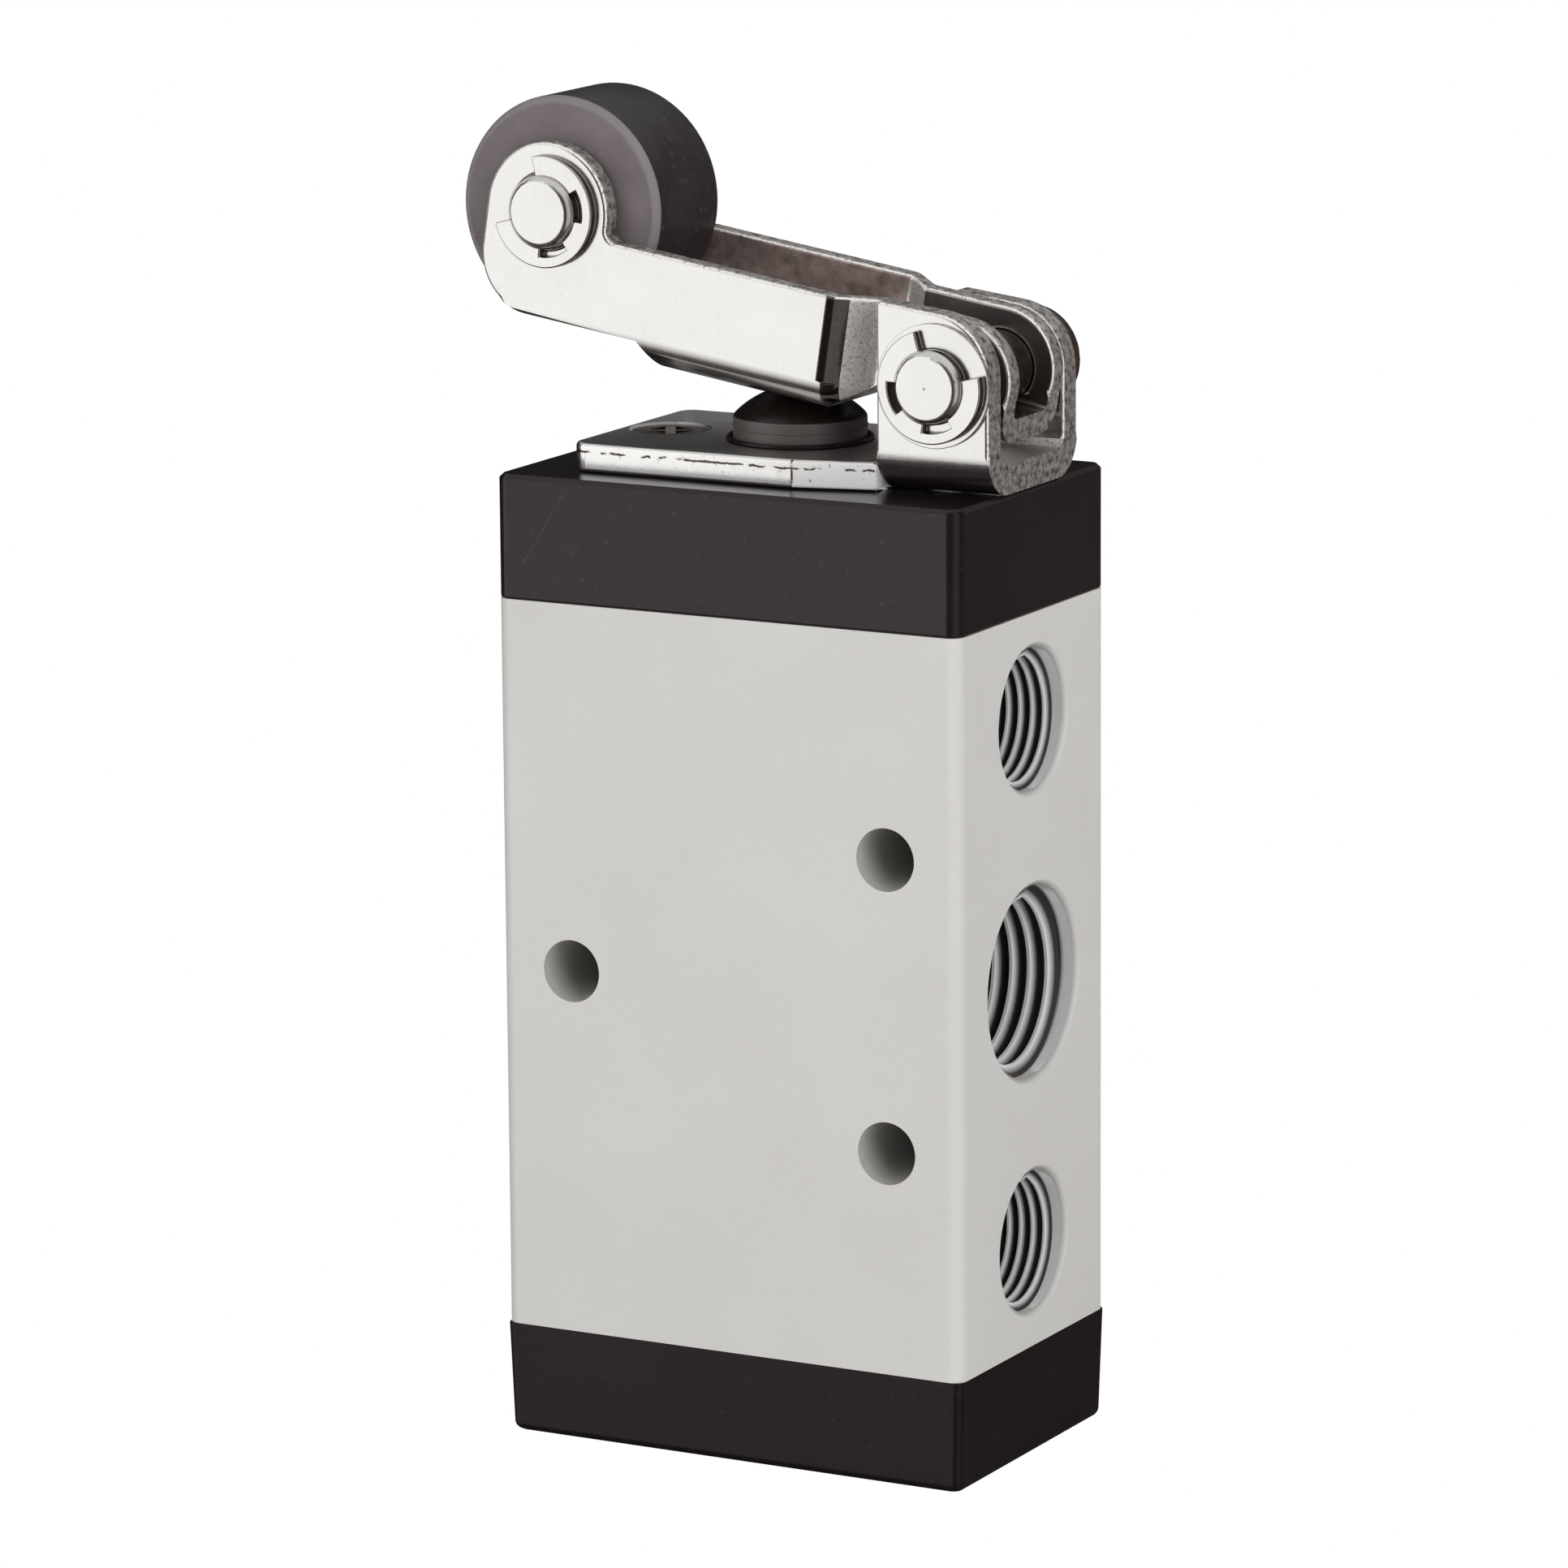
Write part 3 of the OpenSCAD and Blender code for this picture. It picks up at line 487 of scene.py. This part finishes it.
def pinPiece(node, use):
    bm = solidCopy(node)
    soften(bm, use["width"], corner=50, segments=3, clamp=False)
    finish = paint(bm, [use["face"], use["side"]],
                   lambda f: use["face"] if abs(f.normal.y) > facing["slant"] else use["side"])
    keep(bm, "soft_" + node, use["body"], finish, stands=[node], smooth=40, even=True)


for node, use in pinNodes.items():
    pinPiece(node, use)
print("pins and clips:", len(pinNodes))

leverSettings = {  # heights and lengths are in the tilted lever's own directions, from its pivot
    "middle": 0.35 * mm, "tilt": 8.8, "bends": (-8.6 * mm, -6.15 * mm), "near": 0.06 * mm,
    "bendWidth": 0.38 * mm, "foldWidth": 0.95 * mm, "roll": 0.3 * mm,
    "bendLow": -1.76 * mm, "wallLow": -1.66 * mm,  # bends and rolled edges end above the rounded web
    "webTop": -2.0 * mm, "webUnder": -2.4 * mm, "webTurn": 0.9,
}


def leverPiece(use):  # folded sheet: soft bends at the step, rolled and torn edges
    bm = solidCopy("lever")
    px, _, pz = pivots["lever_pivot"]
    cos, sin = math.cos(math.radians(use["tilt"])), math.sin(math.radians(use["tilt"]))
    low, high = use["bends"]
    reflectionEnd = low + use["foldWidth"]

    def along(v):
        return (v.x - px) * cos - (v.z - pz) * sin

    def over(v):
        return (v.x - px) * sin + (v.z - pz) * cos

    def atBend(e):
        onWall = all(abs(f.normal.y) > facing["slant"] for f in e.link_faces)
        clear = all(over(v.co) > use["bendLow"] for v in e.verts)
        return onWall and clear and any(
            all(abs(along(v.co) - bend) < use["near"] for v in e.verts) for bend in use["bends"])

    def cutEdge(e):
        turns = sorted(abs(f.normal.y) for f in e.link_faces)
        clear = all(over(v.co) > use["wallLow"] for v in e.verts)
        return turns[0] < facing["cut"] and turns[1] > facing["wall"] and clear

    soften(bm, use["bendWidth"], corner=8, segments=5, chosen=atBend, clamp=False)
    soften(bm, use["roll"], corner=50, segments=3, chosen=cutEdge, clamp=False)
    # cut the wall where the painted dark reflection past the first bend ends
    reflectionCut = (px + reflectionEnd * cos, use["middle"], pz - reflectionEnd * sin)
    bmesh.ops.bisect_plane(bm, geom=bm.verts[:] + bm.edges[:] + bm.faces[:], dist=merge, plane_co=reflectionCut,
                           plane_no=(cos, 0, -sin))

    def pick(f):
        c = f.calc_center_median()
        n = f.normal
        turn = abs(n.y)
        length, height = along(c), over(c)
        outward = n.y * (c.y - use["middle"])
        rise = n.x * sin + n.z * cos
        rolledUnder = rise < 0 and height > use["webUnder"]
        onWeb = abs(rise) > use["webTurn"] and height < use["webTop"] and not rolledUnder
        inStep = low - use["bendWidth"] < length < high + use["bendWidth"]
        # the outer face just past the first bend takes the painted dark reflection
        if inStep and facing["wall"] < turn < facing["flat"]:
            return "fold" if length < reflectionEnd and outward > 0 else "joggle"
        if turn < facing["cut"] and not onWeb:
            return "edge"
        if facing["cut"] < turn < facing["side"] and height > use["wallLow"]:
            return "bent"
        # faces looking into the channel take darker copies of the plate: painted shade
        if outward < 0:
            return "inner" if length > high else "hollow"
        return "nickel"

    finish = paint(bm, ["nickel", "bent", "edge", "joggle", "fold", "inner", "hollow"], pick)
    keep(bm, "soft_lever", "lever", finish, stands=["lever"], even=True)


leverPiece(leverSettings)

bracketSettings = {
    "sheet": 2 * mm, "earX": 9.2 * mm, "roll": 0.28 * mm, "foot": 0.3 * mm, "earFoot": 0.5 * mm,
    "holes": ((-10 * mm, 3.4 * mm), (0, 5.6 * mm), (10 * mm, 3.4 * mm)),  # place along X, radius left alone
    "level": 0.95, "upright": 0.3, "plateTop": 0.9, "plateFlat": 0.75, "taperTurn": 0.2, "earFloor": 0.98,
    "slack": 0.05 * mm, "topSlack": 0.01 * mm,
}


def bracketPiece(use):
    bm = solidCopy("lever_bracket")
    top = capTop + use["sheet"]
    earMiddle = pivots["lever_pivot"][2]

    def outside(e):
        clear = all(math.hypot(v.co.x - x, v.co.y) > r for v in e.verts for x, r in use["holes"])
        return clear and all(v.co.x < use["earX"] + 2 * use["slack"] for v in e.verts)

    def rolled(e):
        a, b = (f.normal for f in e.link_faces)
        turns = sorted((abs(a.y), abs(b.y)))
        onEar = turns[0] < facing["cut"] and turns[1] > facing["wall"]
        onPlate = max(a.z, b.z) > use["level"] and min(abs(a.z), abs(b.z)) < use["upright"]
        return (onEar and all(v.co.z > top + use["earFoot"] for v in e.verts)) or (onPlate and outside(e))

    def footing(e):
        a, b = (f.normal for f in e.link_faces)
        return min(a.z, b.z) < -use["level"] and min(abs(a.z), abs(b.z)) < use["upright"] and outside(e)

    soften(bm, use["roll"], corner=50, segments=3, chosen=rolled, clamp=False)
    soften(bm, use["foot"], corner=50, segments=3, chosen=footing, clamp=False)

    def pick(f):
        c = f.calc_center_median()
        n = f.normal
        if c.x < use["earX"] + use["slack"] and c.z < top + use["topSlack"]:  # the plate
            if abs(n.z) > use["plateFlat"]:
                return "plate" if n.z > use["plateTop"] else "nickel"
            return "taper" if n.x > use["taperTurn"] else "rim"
        onEdge = abs(n.z) < use["earFloor"] or c.z > earMiddle
        if c.x > use["earX"] - use["slack"] and abs(n.y) < facing["cut"] and onEdge:
            return "edge"
        return "bent" if facing["cut"] < abs(n.y) < facing["side"] and c.z > top else "nickel"

    finish = paint(bm, ["nickel", "bent", "edge", "rim", "plate", "taper"], pick)
    keep(bm, "soft_bracket", "housing", finish, stands=["lever_bracket"], even=True)


bracketPiece(bracketSettings)
print("lever and bracket folded")

beads = {  # moulding flash round the plunger, and the wiper's lip on the plate
    "plunger_bead": {"radius": 4.52 * mm, "section": 0.07 * mm, "height": 69.74 * mm, "body": "plunger",
                     "slot": "plunger_black", "finish": "plunger"},
    # the lip takes the dome's near-black, darker than its rubber: painted shadow at the plunger's foot
    "wiper_lip": {"radius": 4.83 * mm, "section": 0.165 * mm, "height": 68.9 * mm, "body": "housing",
                  "slot": "rubber_black", "finish": "dome"},
}


def beadPiece(name, use):  # a small circle spun round the plunger
    bm = bmesh.new()
    stand = Matrix.Translation((use["radius"], 0, use["height"])) @ Matrix.Rotation(math.pi / 2, 4, "X")
    bmesh.ops.create_circle(bm, cap_ends=False, segments=10, radius=use["section"], matrix=stand)
    bmesh.ops.spin(bm, geom=bm.verts[:] + bm.edges[:], cent=(0, 0, 0), axis=(0, 0, 1), angle=2 * math.pi,
                   steps=96, use_merge=True)
    bmesh.ops.remove_doubles(bm, verts=bm.verts[:], dist=merge)
    bmesh.ops.recalc_face_normals(bm, faces=bm.faces[:])
    keep(bm, name, use["body"], [use["finish"]], smooth=60)


for name, use in beads.items():
    beadPiece(name, use)
print("rings on the plunger:", len(beads))

rollerSettings = {"edge": 0.2 * mm, "faceTurn": 0.35}


def rollerPiece(use):  # pale moulded faces, darker tread
    bm = solidCopy("roller")
    soften(bm, use["edge"], segments=3)
    finish = paint(bm, ["face", "tread"], lambda f: "face" if abs(f.normal.y) > use["faceTurn"] else "tread")
    keep(bm, "soft_roller", "roller", finish, stands=["roller"])


rollerPiece(rollerSettings)
print("roller made")

bodySettings = {
    "chamfer": 0.18 * mm, "reach": 0.02 * mm, "portY": 7 * mm, "portIn": 0.3 * mm, "level": 0.99,
    "bolts": ((12 * mm, 43 * mm), (12 * mm, 23 * mm), (-12 * mm, 33 * mm)),  # places along X and Z
    "boltWall": 2.4 * mm, "boltTurn": 0.1,
}


def bodyPiece(use):  # holes get a small chamfer, and the ports bare metal
    bm = solidCopy("valve_body")

    def atMouth(e):
        onSide = all(abs(abs(v.co.x) - bodyHigh.x) < use["reach"] for v in e.verts)
        onFront = all(abs(abs(v.co.y) - bodyHigh.y) < use["reach"] for v in e.verts)
        return onSide or onFront

    def pick(f):
        c = f.calc_center_median()
        nearBolt = any(math.hypot(c.x - x, c.z - z) < use["boltWall"] for x, z in use["bolts"])
        # the bolt holes' walls take the darker copy of the body grey: painted shade
        if nearBolt and abs(f.normal.y) < use["boltTurn"]:
            return "bore"
        inPort = abs(c.x) < bodyHigh.x - use["portIn"] and abs(c.y) < use["portY"]
        return "alloy" if inPort and abs(f.normal.z) <= use["level"] else "body"

    soften(bm, use["chamfer"], corner=20, segments=2, chosen=atMouth)
    finish = paint(bm, ["body", "alloy", "bore"], pick)
    keep(bm, "grey_body", "housing", finish, stands=["valve_body"], even=True)


bodyPiece(bodySettings)

threadSizes = {  # millimetres
    "quarterInch": {"crest": 5.78, "pitch": 1.337, "depth": 9.0},
    "eighthInch": {"crest": 4.33, "pitch": 0.907, "depth": 7.2},
}
threadedPorts = {  # the port's mount in the record, and its size
    "supply": ("supply_port", "quarterInch"),
    "upper_exhaust": ("upper_exhaust", "eighthInch"),
    "lower_exhaust": ("lower_exhaust", "eighthInch"),
    "upper_outlet": ("upper_outlet", "quarterInch"),
    "lower_outlet": ("lower_outlet", "quarterInch"),
}
ridge = {"chamfer": 0.35, "steps": 48, "bury": 0.05, "crestFlat": 0.16, "base": 0.46}  # last two in pitches


def threadPiece(name, use, mount, crest, pitch, depth):  # one ridge wound into the port
    height, side, root = mount["pos_m"][2] / mm, mount["axis"][0], mount["dims"]["r_mm"]
    flat = use["crestFlat"] * pitch / 2
    base = use["base"] * pitch
    start = use["chamfer"] + base
    steps = int((depth - start) / pitch * use["steps"])
    bm = bmesh.new()
    shape = [(root + use["bury"], -base), (crest, -flat), (crest, flat), (root + use["bury"], base)]
    section = bm.faces.new([bm.verts.new((x * mm, 0, r * mm)) for r, x in shape])
    bmesh.ops.spin(bm, geom=[section] + section.verts[:] + section.edges[:], cent=(0, 0, 0), axis=(1, 0, 0),
                   dvec=(-pitch / use["steps"] * mm, 0, 0), angle=2 * math.pi * steps / use["steps"],
                   steps=steps, use_merge=False)
    bmesh.ops.remove_doubles(bm, verts=bm.verts[:], dist=merge)
    bmesh.ops.recalc_face_normals(bm, faces=bm.faces[:])
    place = Matrix.Translation((side * (bodyHigh.x - start * mm), 0, height * mm))
    if side < 0:
        place = place @ Matrix.Rotation(math.pi, 4, "Z")
    bmesh.ops.transform(bm, matrix=place, verts=bm.verts[:])
    finishName = "thread" + name.title().replace("_", "")
    finishes[name] = threadFinish(finishName, threadShade, height, root, crest)
    keep(bm, "thread_" + name, "housing", [name], smooth=40)


for name, (mountName, size) in threadedPorts.items():
    threadPiece(name, ridge, mounts[mountName], **threadSizes[size])
print("threads cut:", len(threadedPorts))

screwSettings = {
    "places": ((-10 * mm, 0.5), (10 * mm, 1.1)),  # place along X, turn of the cross
    "head": 2.62 * mm, "shank": 1.5 * mm, "length": 6.4 * mm, "top": 68.62 * mm,
    "arm": 1.55 * mm, "wide": 0.36 * mm, "deep": 1.1 * mm, "taper": 0.6,
}


def drawDown(bm, edges, drop, scale=1.0):  # extrudes a loop of edges downwards and narrows it
    drawn = bmesh.ops.extrude_edge_only(bm, edges=edges)["geom"]
    ends = [g for g in drawn if isinstance(g, bmesh.types.BMVert)]
    bmesh.ops.scale(bm, vec=(scale, scale, 1), verts=ends)
    bmesh.ops.translate(bm, vec=(0, 0, -drop), verts=ends)
    return [g for g in drawn if isinstance(g, bmesh.types.BMEdge) and all(v in ends for v in g.verts)]


def screwHeads(use):  # countersunk heads with a cross recess
    arm, wide = use["arm"], use["wide"]
    corners = [(arm, -wide), (arm, wide), (wide, wide)]
    cross = []
    for quarter in range(4):
        cross += corners
        corners = [(-y, x) for x, y in corners]
    whole = bmesh.new()
    for along, turn in use["places"]:
        bm = bmesh.new()
        bmesh.ops.create_circle(bm, cap_ends=False, segments=48, radius=use["head"])
        outerLoop = bm.edges[:]
        inner = [bm.verts.new((x, y, 0)) for x, y in cross]
        innerLoop = [bm.edges.new((inner[i - 1], inner[i])) for i in range(len(inner))]
        bmesh.ops.triangle_fill(bm, use_beauty=True, edges=outerLoop + innerLoop)
        middle = [f for f in bm.faces if all(v in inner for v in f.verts)]
        bmesh.ops.delete(bm, geom=middle, context="FACES_ONLY")
        recess = drawDown(bm, innerLoop, use["deep"], use["taper"])
        bmesh.ops.triangle_fill(bm, use_beauty=True, edges=recess)
        neck = drawDown(bm, outerLoop, use["head"] - use["shank"], use["shank"] / use["head"])
        tip = drawDown(bm, neck, use["length"])
        bmesh.ops.triangle_fill(bm, use_beauty=True, edges=tip)
        bmesh.ops.recalc_face_normals(bm, faces=bm.faces[:])
        place = Matrix.Translation((along, 0, use["top"])) @ Matrix.Rotation(turn, 4, "Z")
        bmesh.ops.transform(bm, matrix=place, verts=bm.verts[:])
        mesh = bpy.data.meshes.new("screwPart")
        bm.to_mesh(mesh)
        bm.free()
        whole.from_mesh(mesh)
        bpy.data.meshes.remove(mesh)
    keep(whole, "cross_screws", "housing", ["screw"], stands=["bracket_screws"])


screwHeads(screwSettings)
print("screw heads cut")

plainNodes = {
    "top_gasket": "rubber", "foot_gasket": "rubber", "plunger_wiper": "rubber", "spool_seals": "rubber",
    "cap_screws": "screw", "foot_screws": "screw", "spool": "spool",
}
for node, finish in plainNodes.items():  # hidden pieces keep their solids
    nodes[node].data.materials.clear()
    nodes[node].data.materials.append(finishes[finish])
print("hidden pieces finished:", len(plainNodes))


def springPiece():
    bm = mergedCopy("return_spring")
    piece = keep(bm, "coil_spring", "housing", ["spring"], stands=["return_spring"],
                 smooth=50)
    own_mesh(piece)


springPiece()
print("spring wound")


# studio

white = colour(1, 1, 1)
floorSettings = {"half": 3, "pale": colour(0.86, 0.86, 0.86), "roughness": 0.9}


def floorFinish(use):  # plain white to the camera, pale to every other ray
    made, w, _ = newFinish("paleFloor", {"Base Color": use["pale"], "Roughness": use["roughness"]})
    tree = made.node_tree
    plain = Wire(tree, tree.nodes["Principled BSDF"].outputs[0])
    seen = w.node("ShaderNodeLightPath", out="Is Camera Ray")
    glow = w.node("ShaderNodeEmission", None, {"Color": white, "Strength": 1.0})
    mixed = w.node("ShaderNodeMixShader", None, {0: seen, 1: plain, 2: glow})
    feed(tree.nodes["Material Output"].inputs, {"Surface": mixed})
    return made


def layFloor(use):
    bm = bmesh.new()
    bmesh.ops.create_grid(bm, x_segments=1, y_segments=1, size=use["half"])
    mesh = bpy.data.meshes.new("floor")
    bm.to_mesh(mesh)
    bm.free()
    mesh.materials.append(floorFinish(use))
    floor = bpy.data.objects.new("floor", mesh)
    scene.collection.objects.link(floor)
    floor.visible_glossy = False  # shiny metal sees the studio walls below instead


layFloor(floorSettings)

studio = {  # what polished metal sees: a white wall at the front left, a grey one at the right, dim elsewhere
    "wall": {"heading": (-0.669, -0.743), "band": (0.880, 0.925), "skirt": (-0.62, -0.26),
             "shade": colour(1.25, 1.25, 1.24)},
    "side": {"heading": (0.881, -0.473), "band": (0.905, 0.961), "skirt": (-0.75, -0.5),
             "shade": colour(0.56, 0.535, 0.51)},
    "front": {"shade": colour(0.085, 0.068, 0.058)},
    "behind": {"band": (-0.2, 0.3), "shade": colour(0.115, 0.092, 0.084)},
    "leftBack": {"band": (-0.25, 0.1), "shade": colour(0.022, 0.020, 0.020)},
    "ceiling": {"band": (0.38, 0.75), "shade": colour(0.75, 0.75, 0.75)},
    "fill": 0.42,
}


def studioWorld(use):
    world = bpy.data.worlds.new("studio")
    scene.world = world
    world.use_nodes = True
    tree = world.node_tree
    w = Wire(tree)
    way = w.node("ShaderNodeTexCoord", out="Generated")
    x, y, z = (w.node("ShaderNodeSeparateXYZ", None, {0: way}, out=axis) for axis in range(3))
    level = w.sum("SQRT", 1.0 - z * z)

    def glow(shade, strength=1.0):
        return w.node("ShaderNodeBackground", None, {"Color": shade, "Strength": strength})

    behind = w.ramp(y, *use["behind"]["band"])
    leftBack = behind * w.ramp(x * -1.0, *use["leftBack"]["band"])
    room = w.blend(behind, use["front"]["shade"], use["behind"]["shade"])
    room = w.blend(leftBack, room, use["leftBack"]["shade"])
    for panel in (use["side"], use["wall"]):
        towards = w.sum("DIVIDE", x * panel["heading"][0] + y * panel["heading"][1], level)
        seen = w.ramp(towards, *panel["band"]) * w.ramp(z, *panel["skirt"])
        room = w.blend(seen, room, panel["shade"])
    room = w.blend(w.ramp(z, *use["ceiling"]["band"]), room, use["ceiling"]["shade"])
    shiny = w.node("ShaderNodeLightPath", out="Is Glossy Ray")
    direct = w.node("ShaderNodeLightPath", out="Is Camera Ray")
    lit = w.node("ShaderNodeMixShader", None, {0: shiny, 1: glow(white, use["fill"]), 2: glow(room)})
    full = w.node("ShaderNodeMixShader", None, {0: direct, 1: lit, 2: glow(white)})
    feed(tree.nodes["World Output"].inputs, {"Surface": full})


studioWorld(studio)

lamps = {
    "keyLight": {"place": (-0.35, -0.75, 0.45), "size": 0.6, "power": 3.2},
    "sideLight": {"place": (0.7, -0.35, 0.35), "size": 0.5, "power": 4.2},
}
lampAim = (0, 0, 0.045)


def softbox(name, use, aim):
    lamp = bpy.data.lights.new(name, "AREA")
    lamp.shape = "SQUARE"
    lamp.size = use["size"]
    lamp.energy = use["power"]
    box = bpy.data.objects.new(name, lamp)
    box.location = use["place"]
    box.rotation_euler = (Vector(use["place"]) - Vector(aim)).to_track_quat("Z", "Y").to_euler()
    box.visible_glossy = False
    scene.collection.objects.link(box)


for name, use in lamps.items():
    softbox(name, use, lampAim)
print("studio lit")

cameraFit = {  # found from the photograph's edges, in pixels, degrees and millimetres
    "focal": 9815.37, "frame": 1932, "yaw": 28.319, "pitch": 11.713, "roll": -0.442,
    "shiftX": 1.5675, "shiftY": -36.466, "distance": 548.473, "footHeight": 7.75, "sensor": 36,
}


def placeCamera(use):
    yaw, pitch, roll = (math.radians(use[k]) for k in ("yaw", "pitch", "roll"))
    back = Vector((math.sin(yaw) * math.cos(pitch), -math.cos(yaw) * math.cos(pitch), math.sin(pitch)))
    level = Vector((math.cos(yaw), math.sin(yaw), 0))
    rise = back.cross(level)
    right = math.cos(roll) * level + math.sin(roll) * rise
    up = -math.sin(roll) * level + math.cos(roll) * rise
    eye = -use["shiftX"] * right - use["shiftY"] * up + use["distance"] * back
    eye.z += use["footHeight"]
    data = bpy.data.cameras.new("camera")
    data.sensor_width = use["sensor"]
    data.lens = use["focal"] * use["sensor"] / use["frame"]
    data.clip_start, data.clip_end = 0.01, 20
    made = bpy.data.objects.new("camera", data)
    turn = Matrix((right, up, back)).transposed().to_4x4()
    made.matrix_world = Matrix.Translation(eye * mm) @ turn
    scene.collection.objects.link(made)
    scene.camera = made


placeCamera(cameraFit)
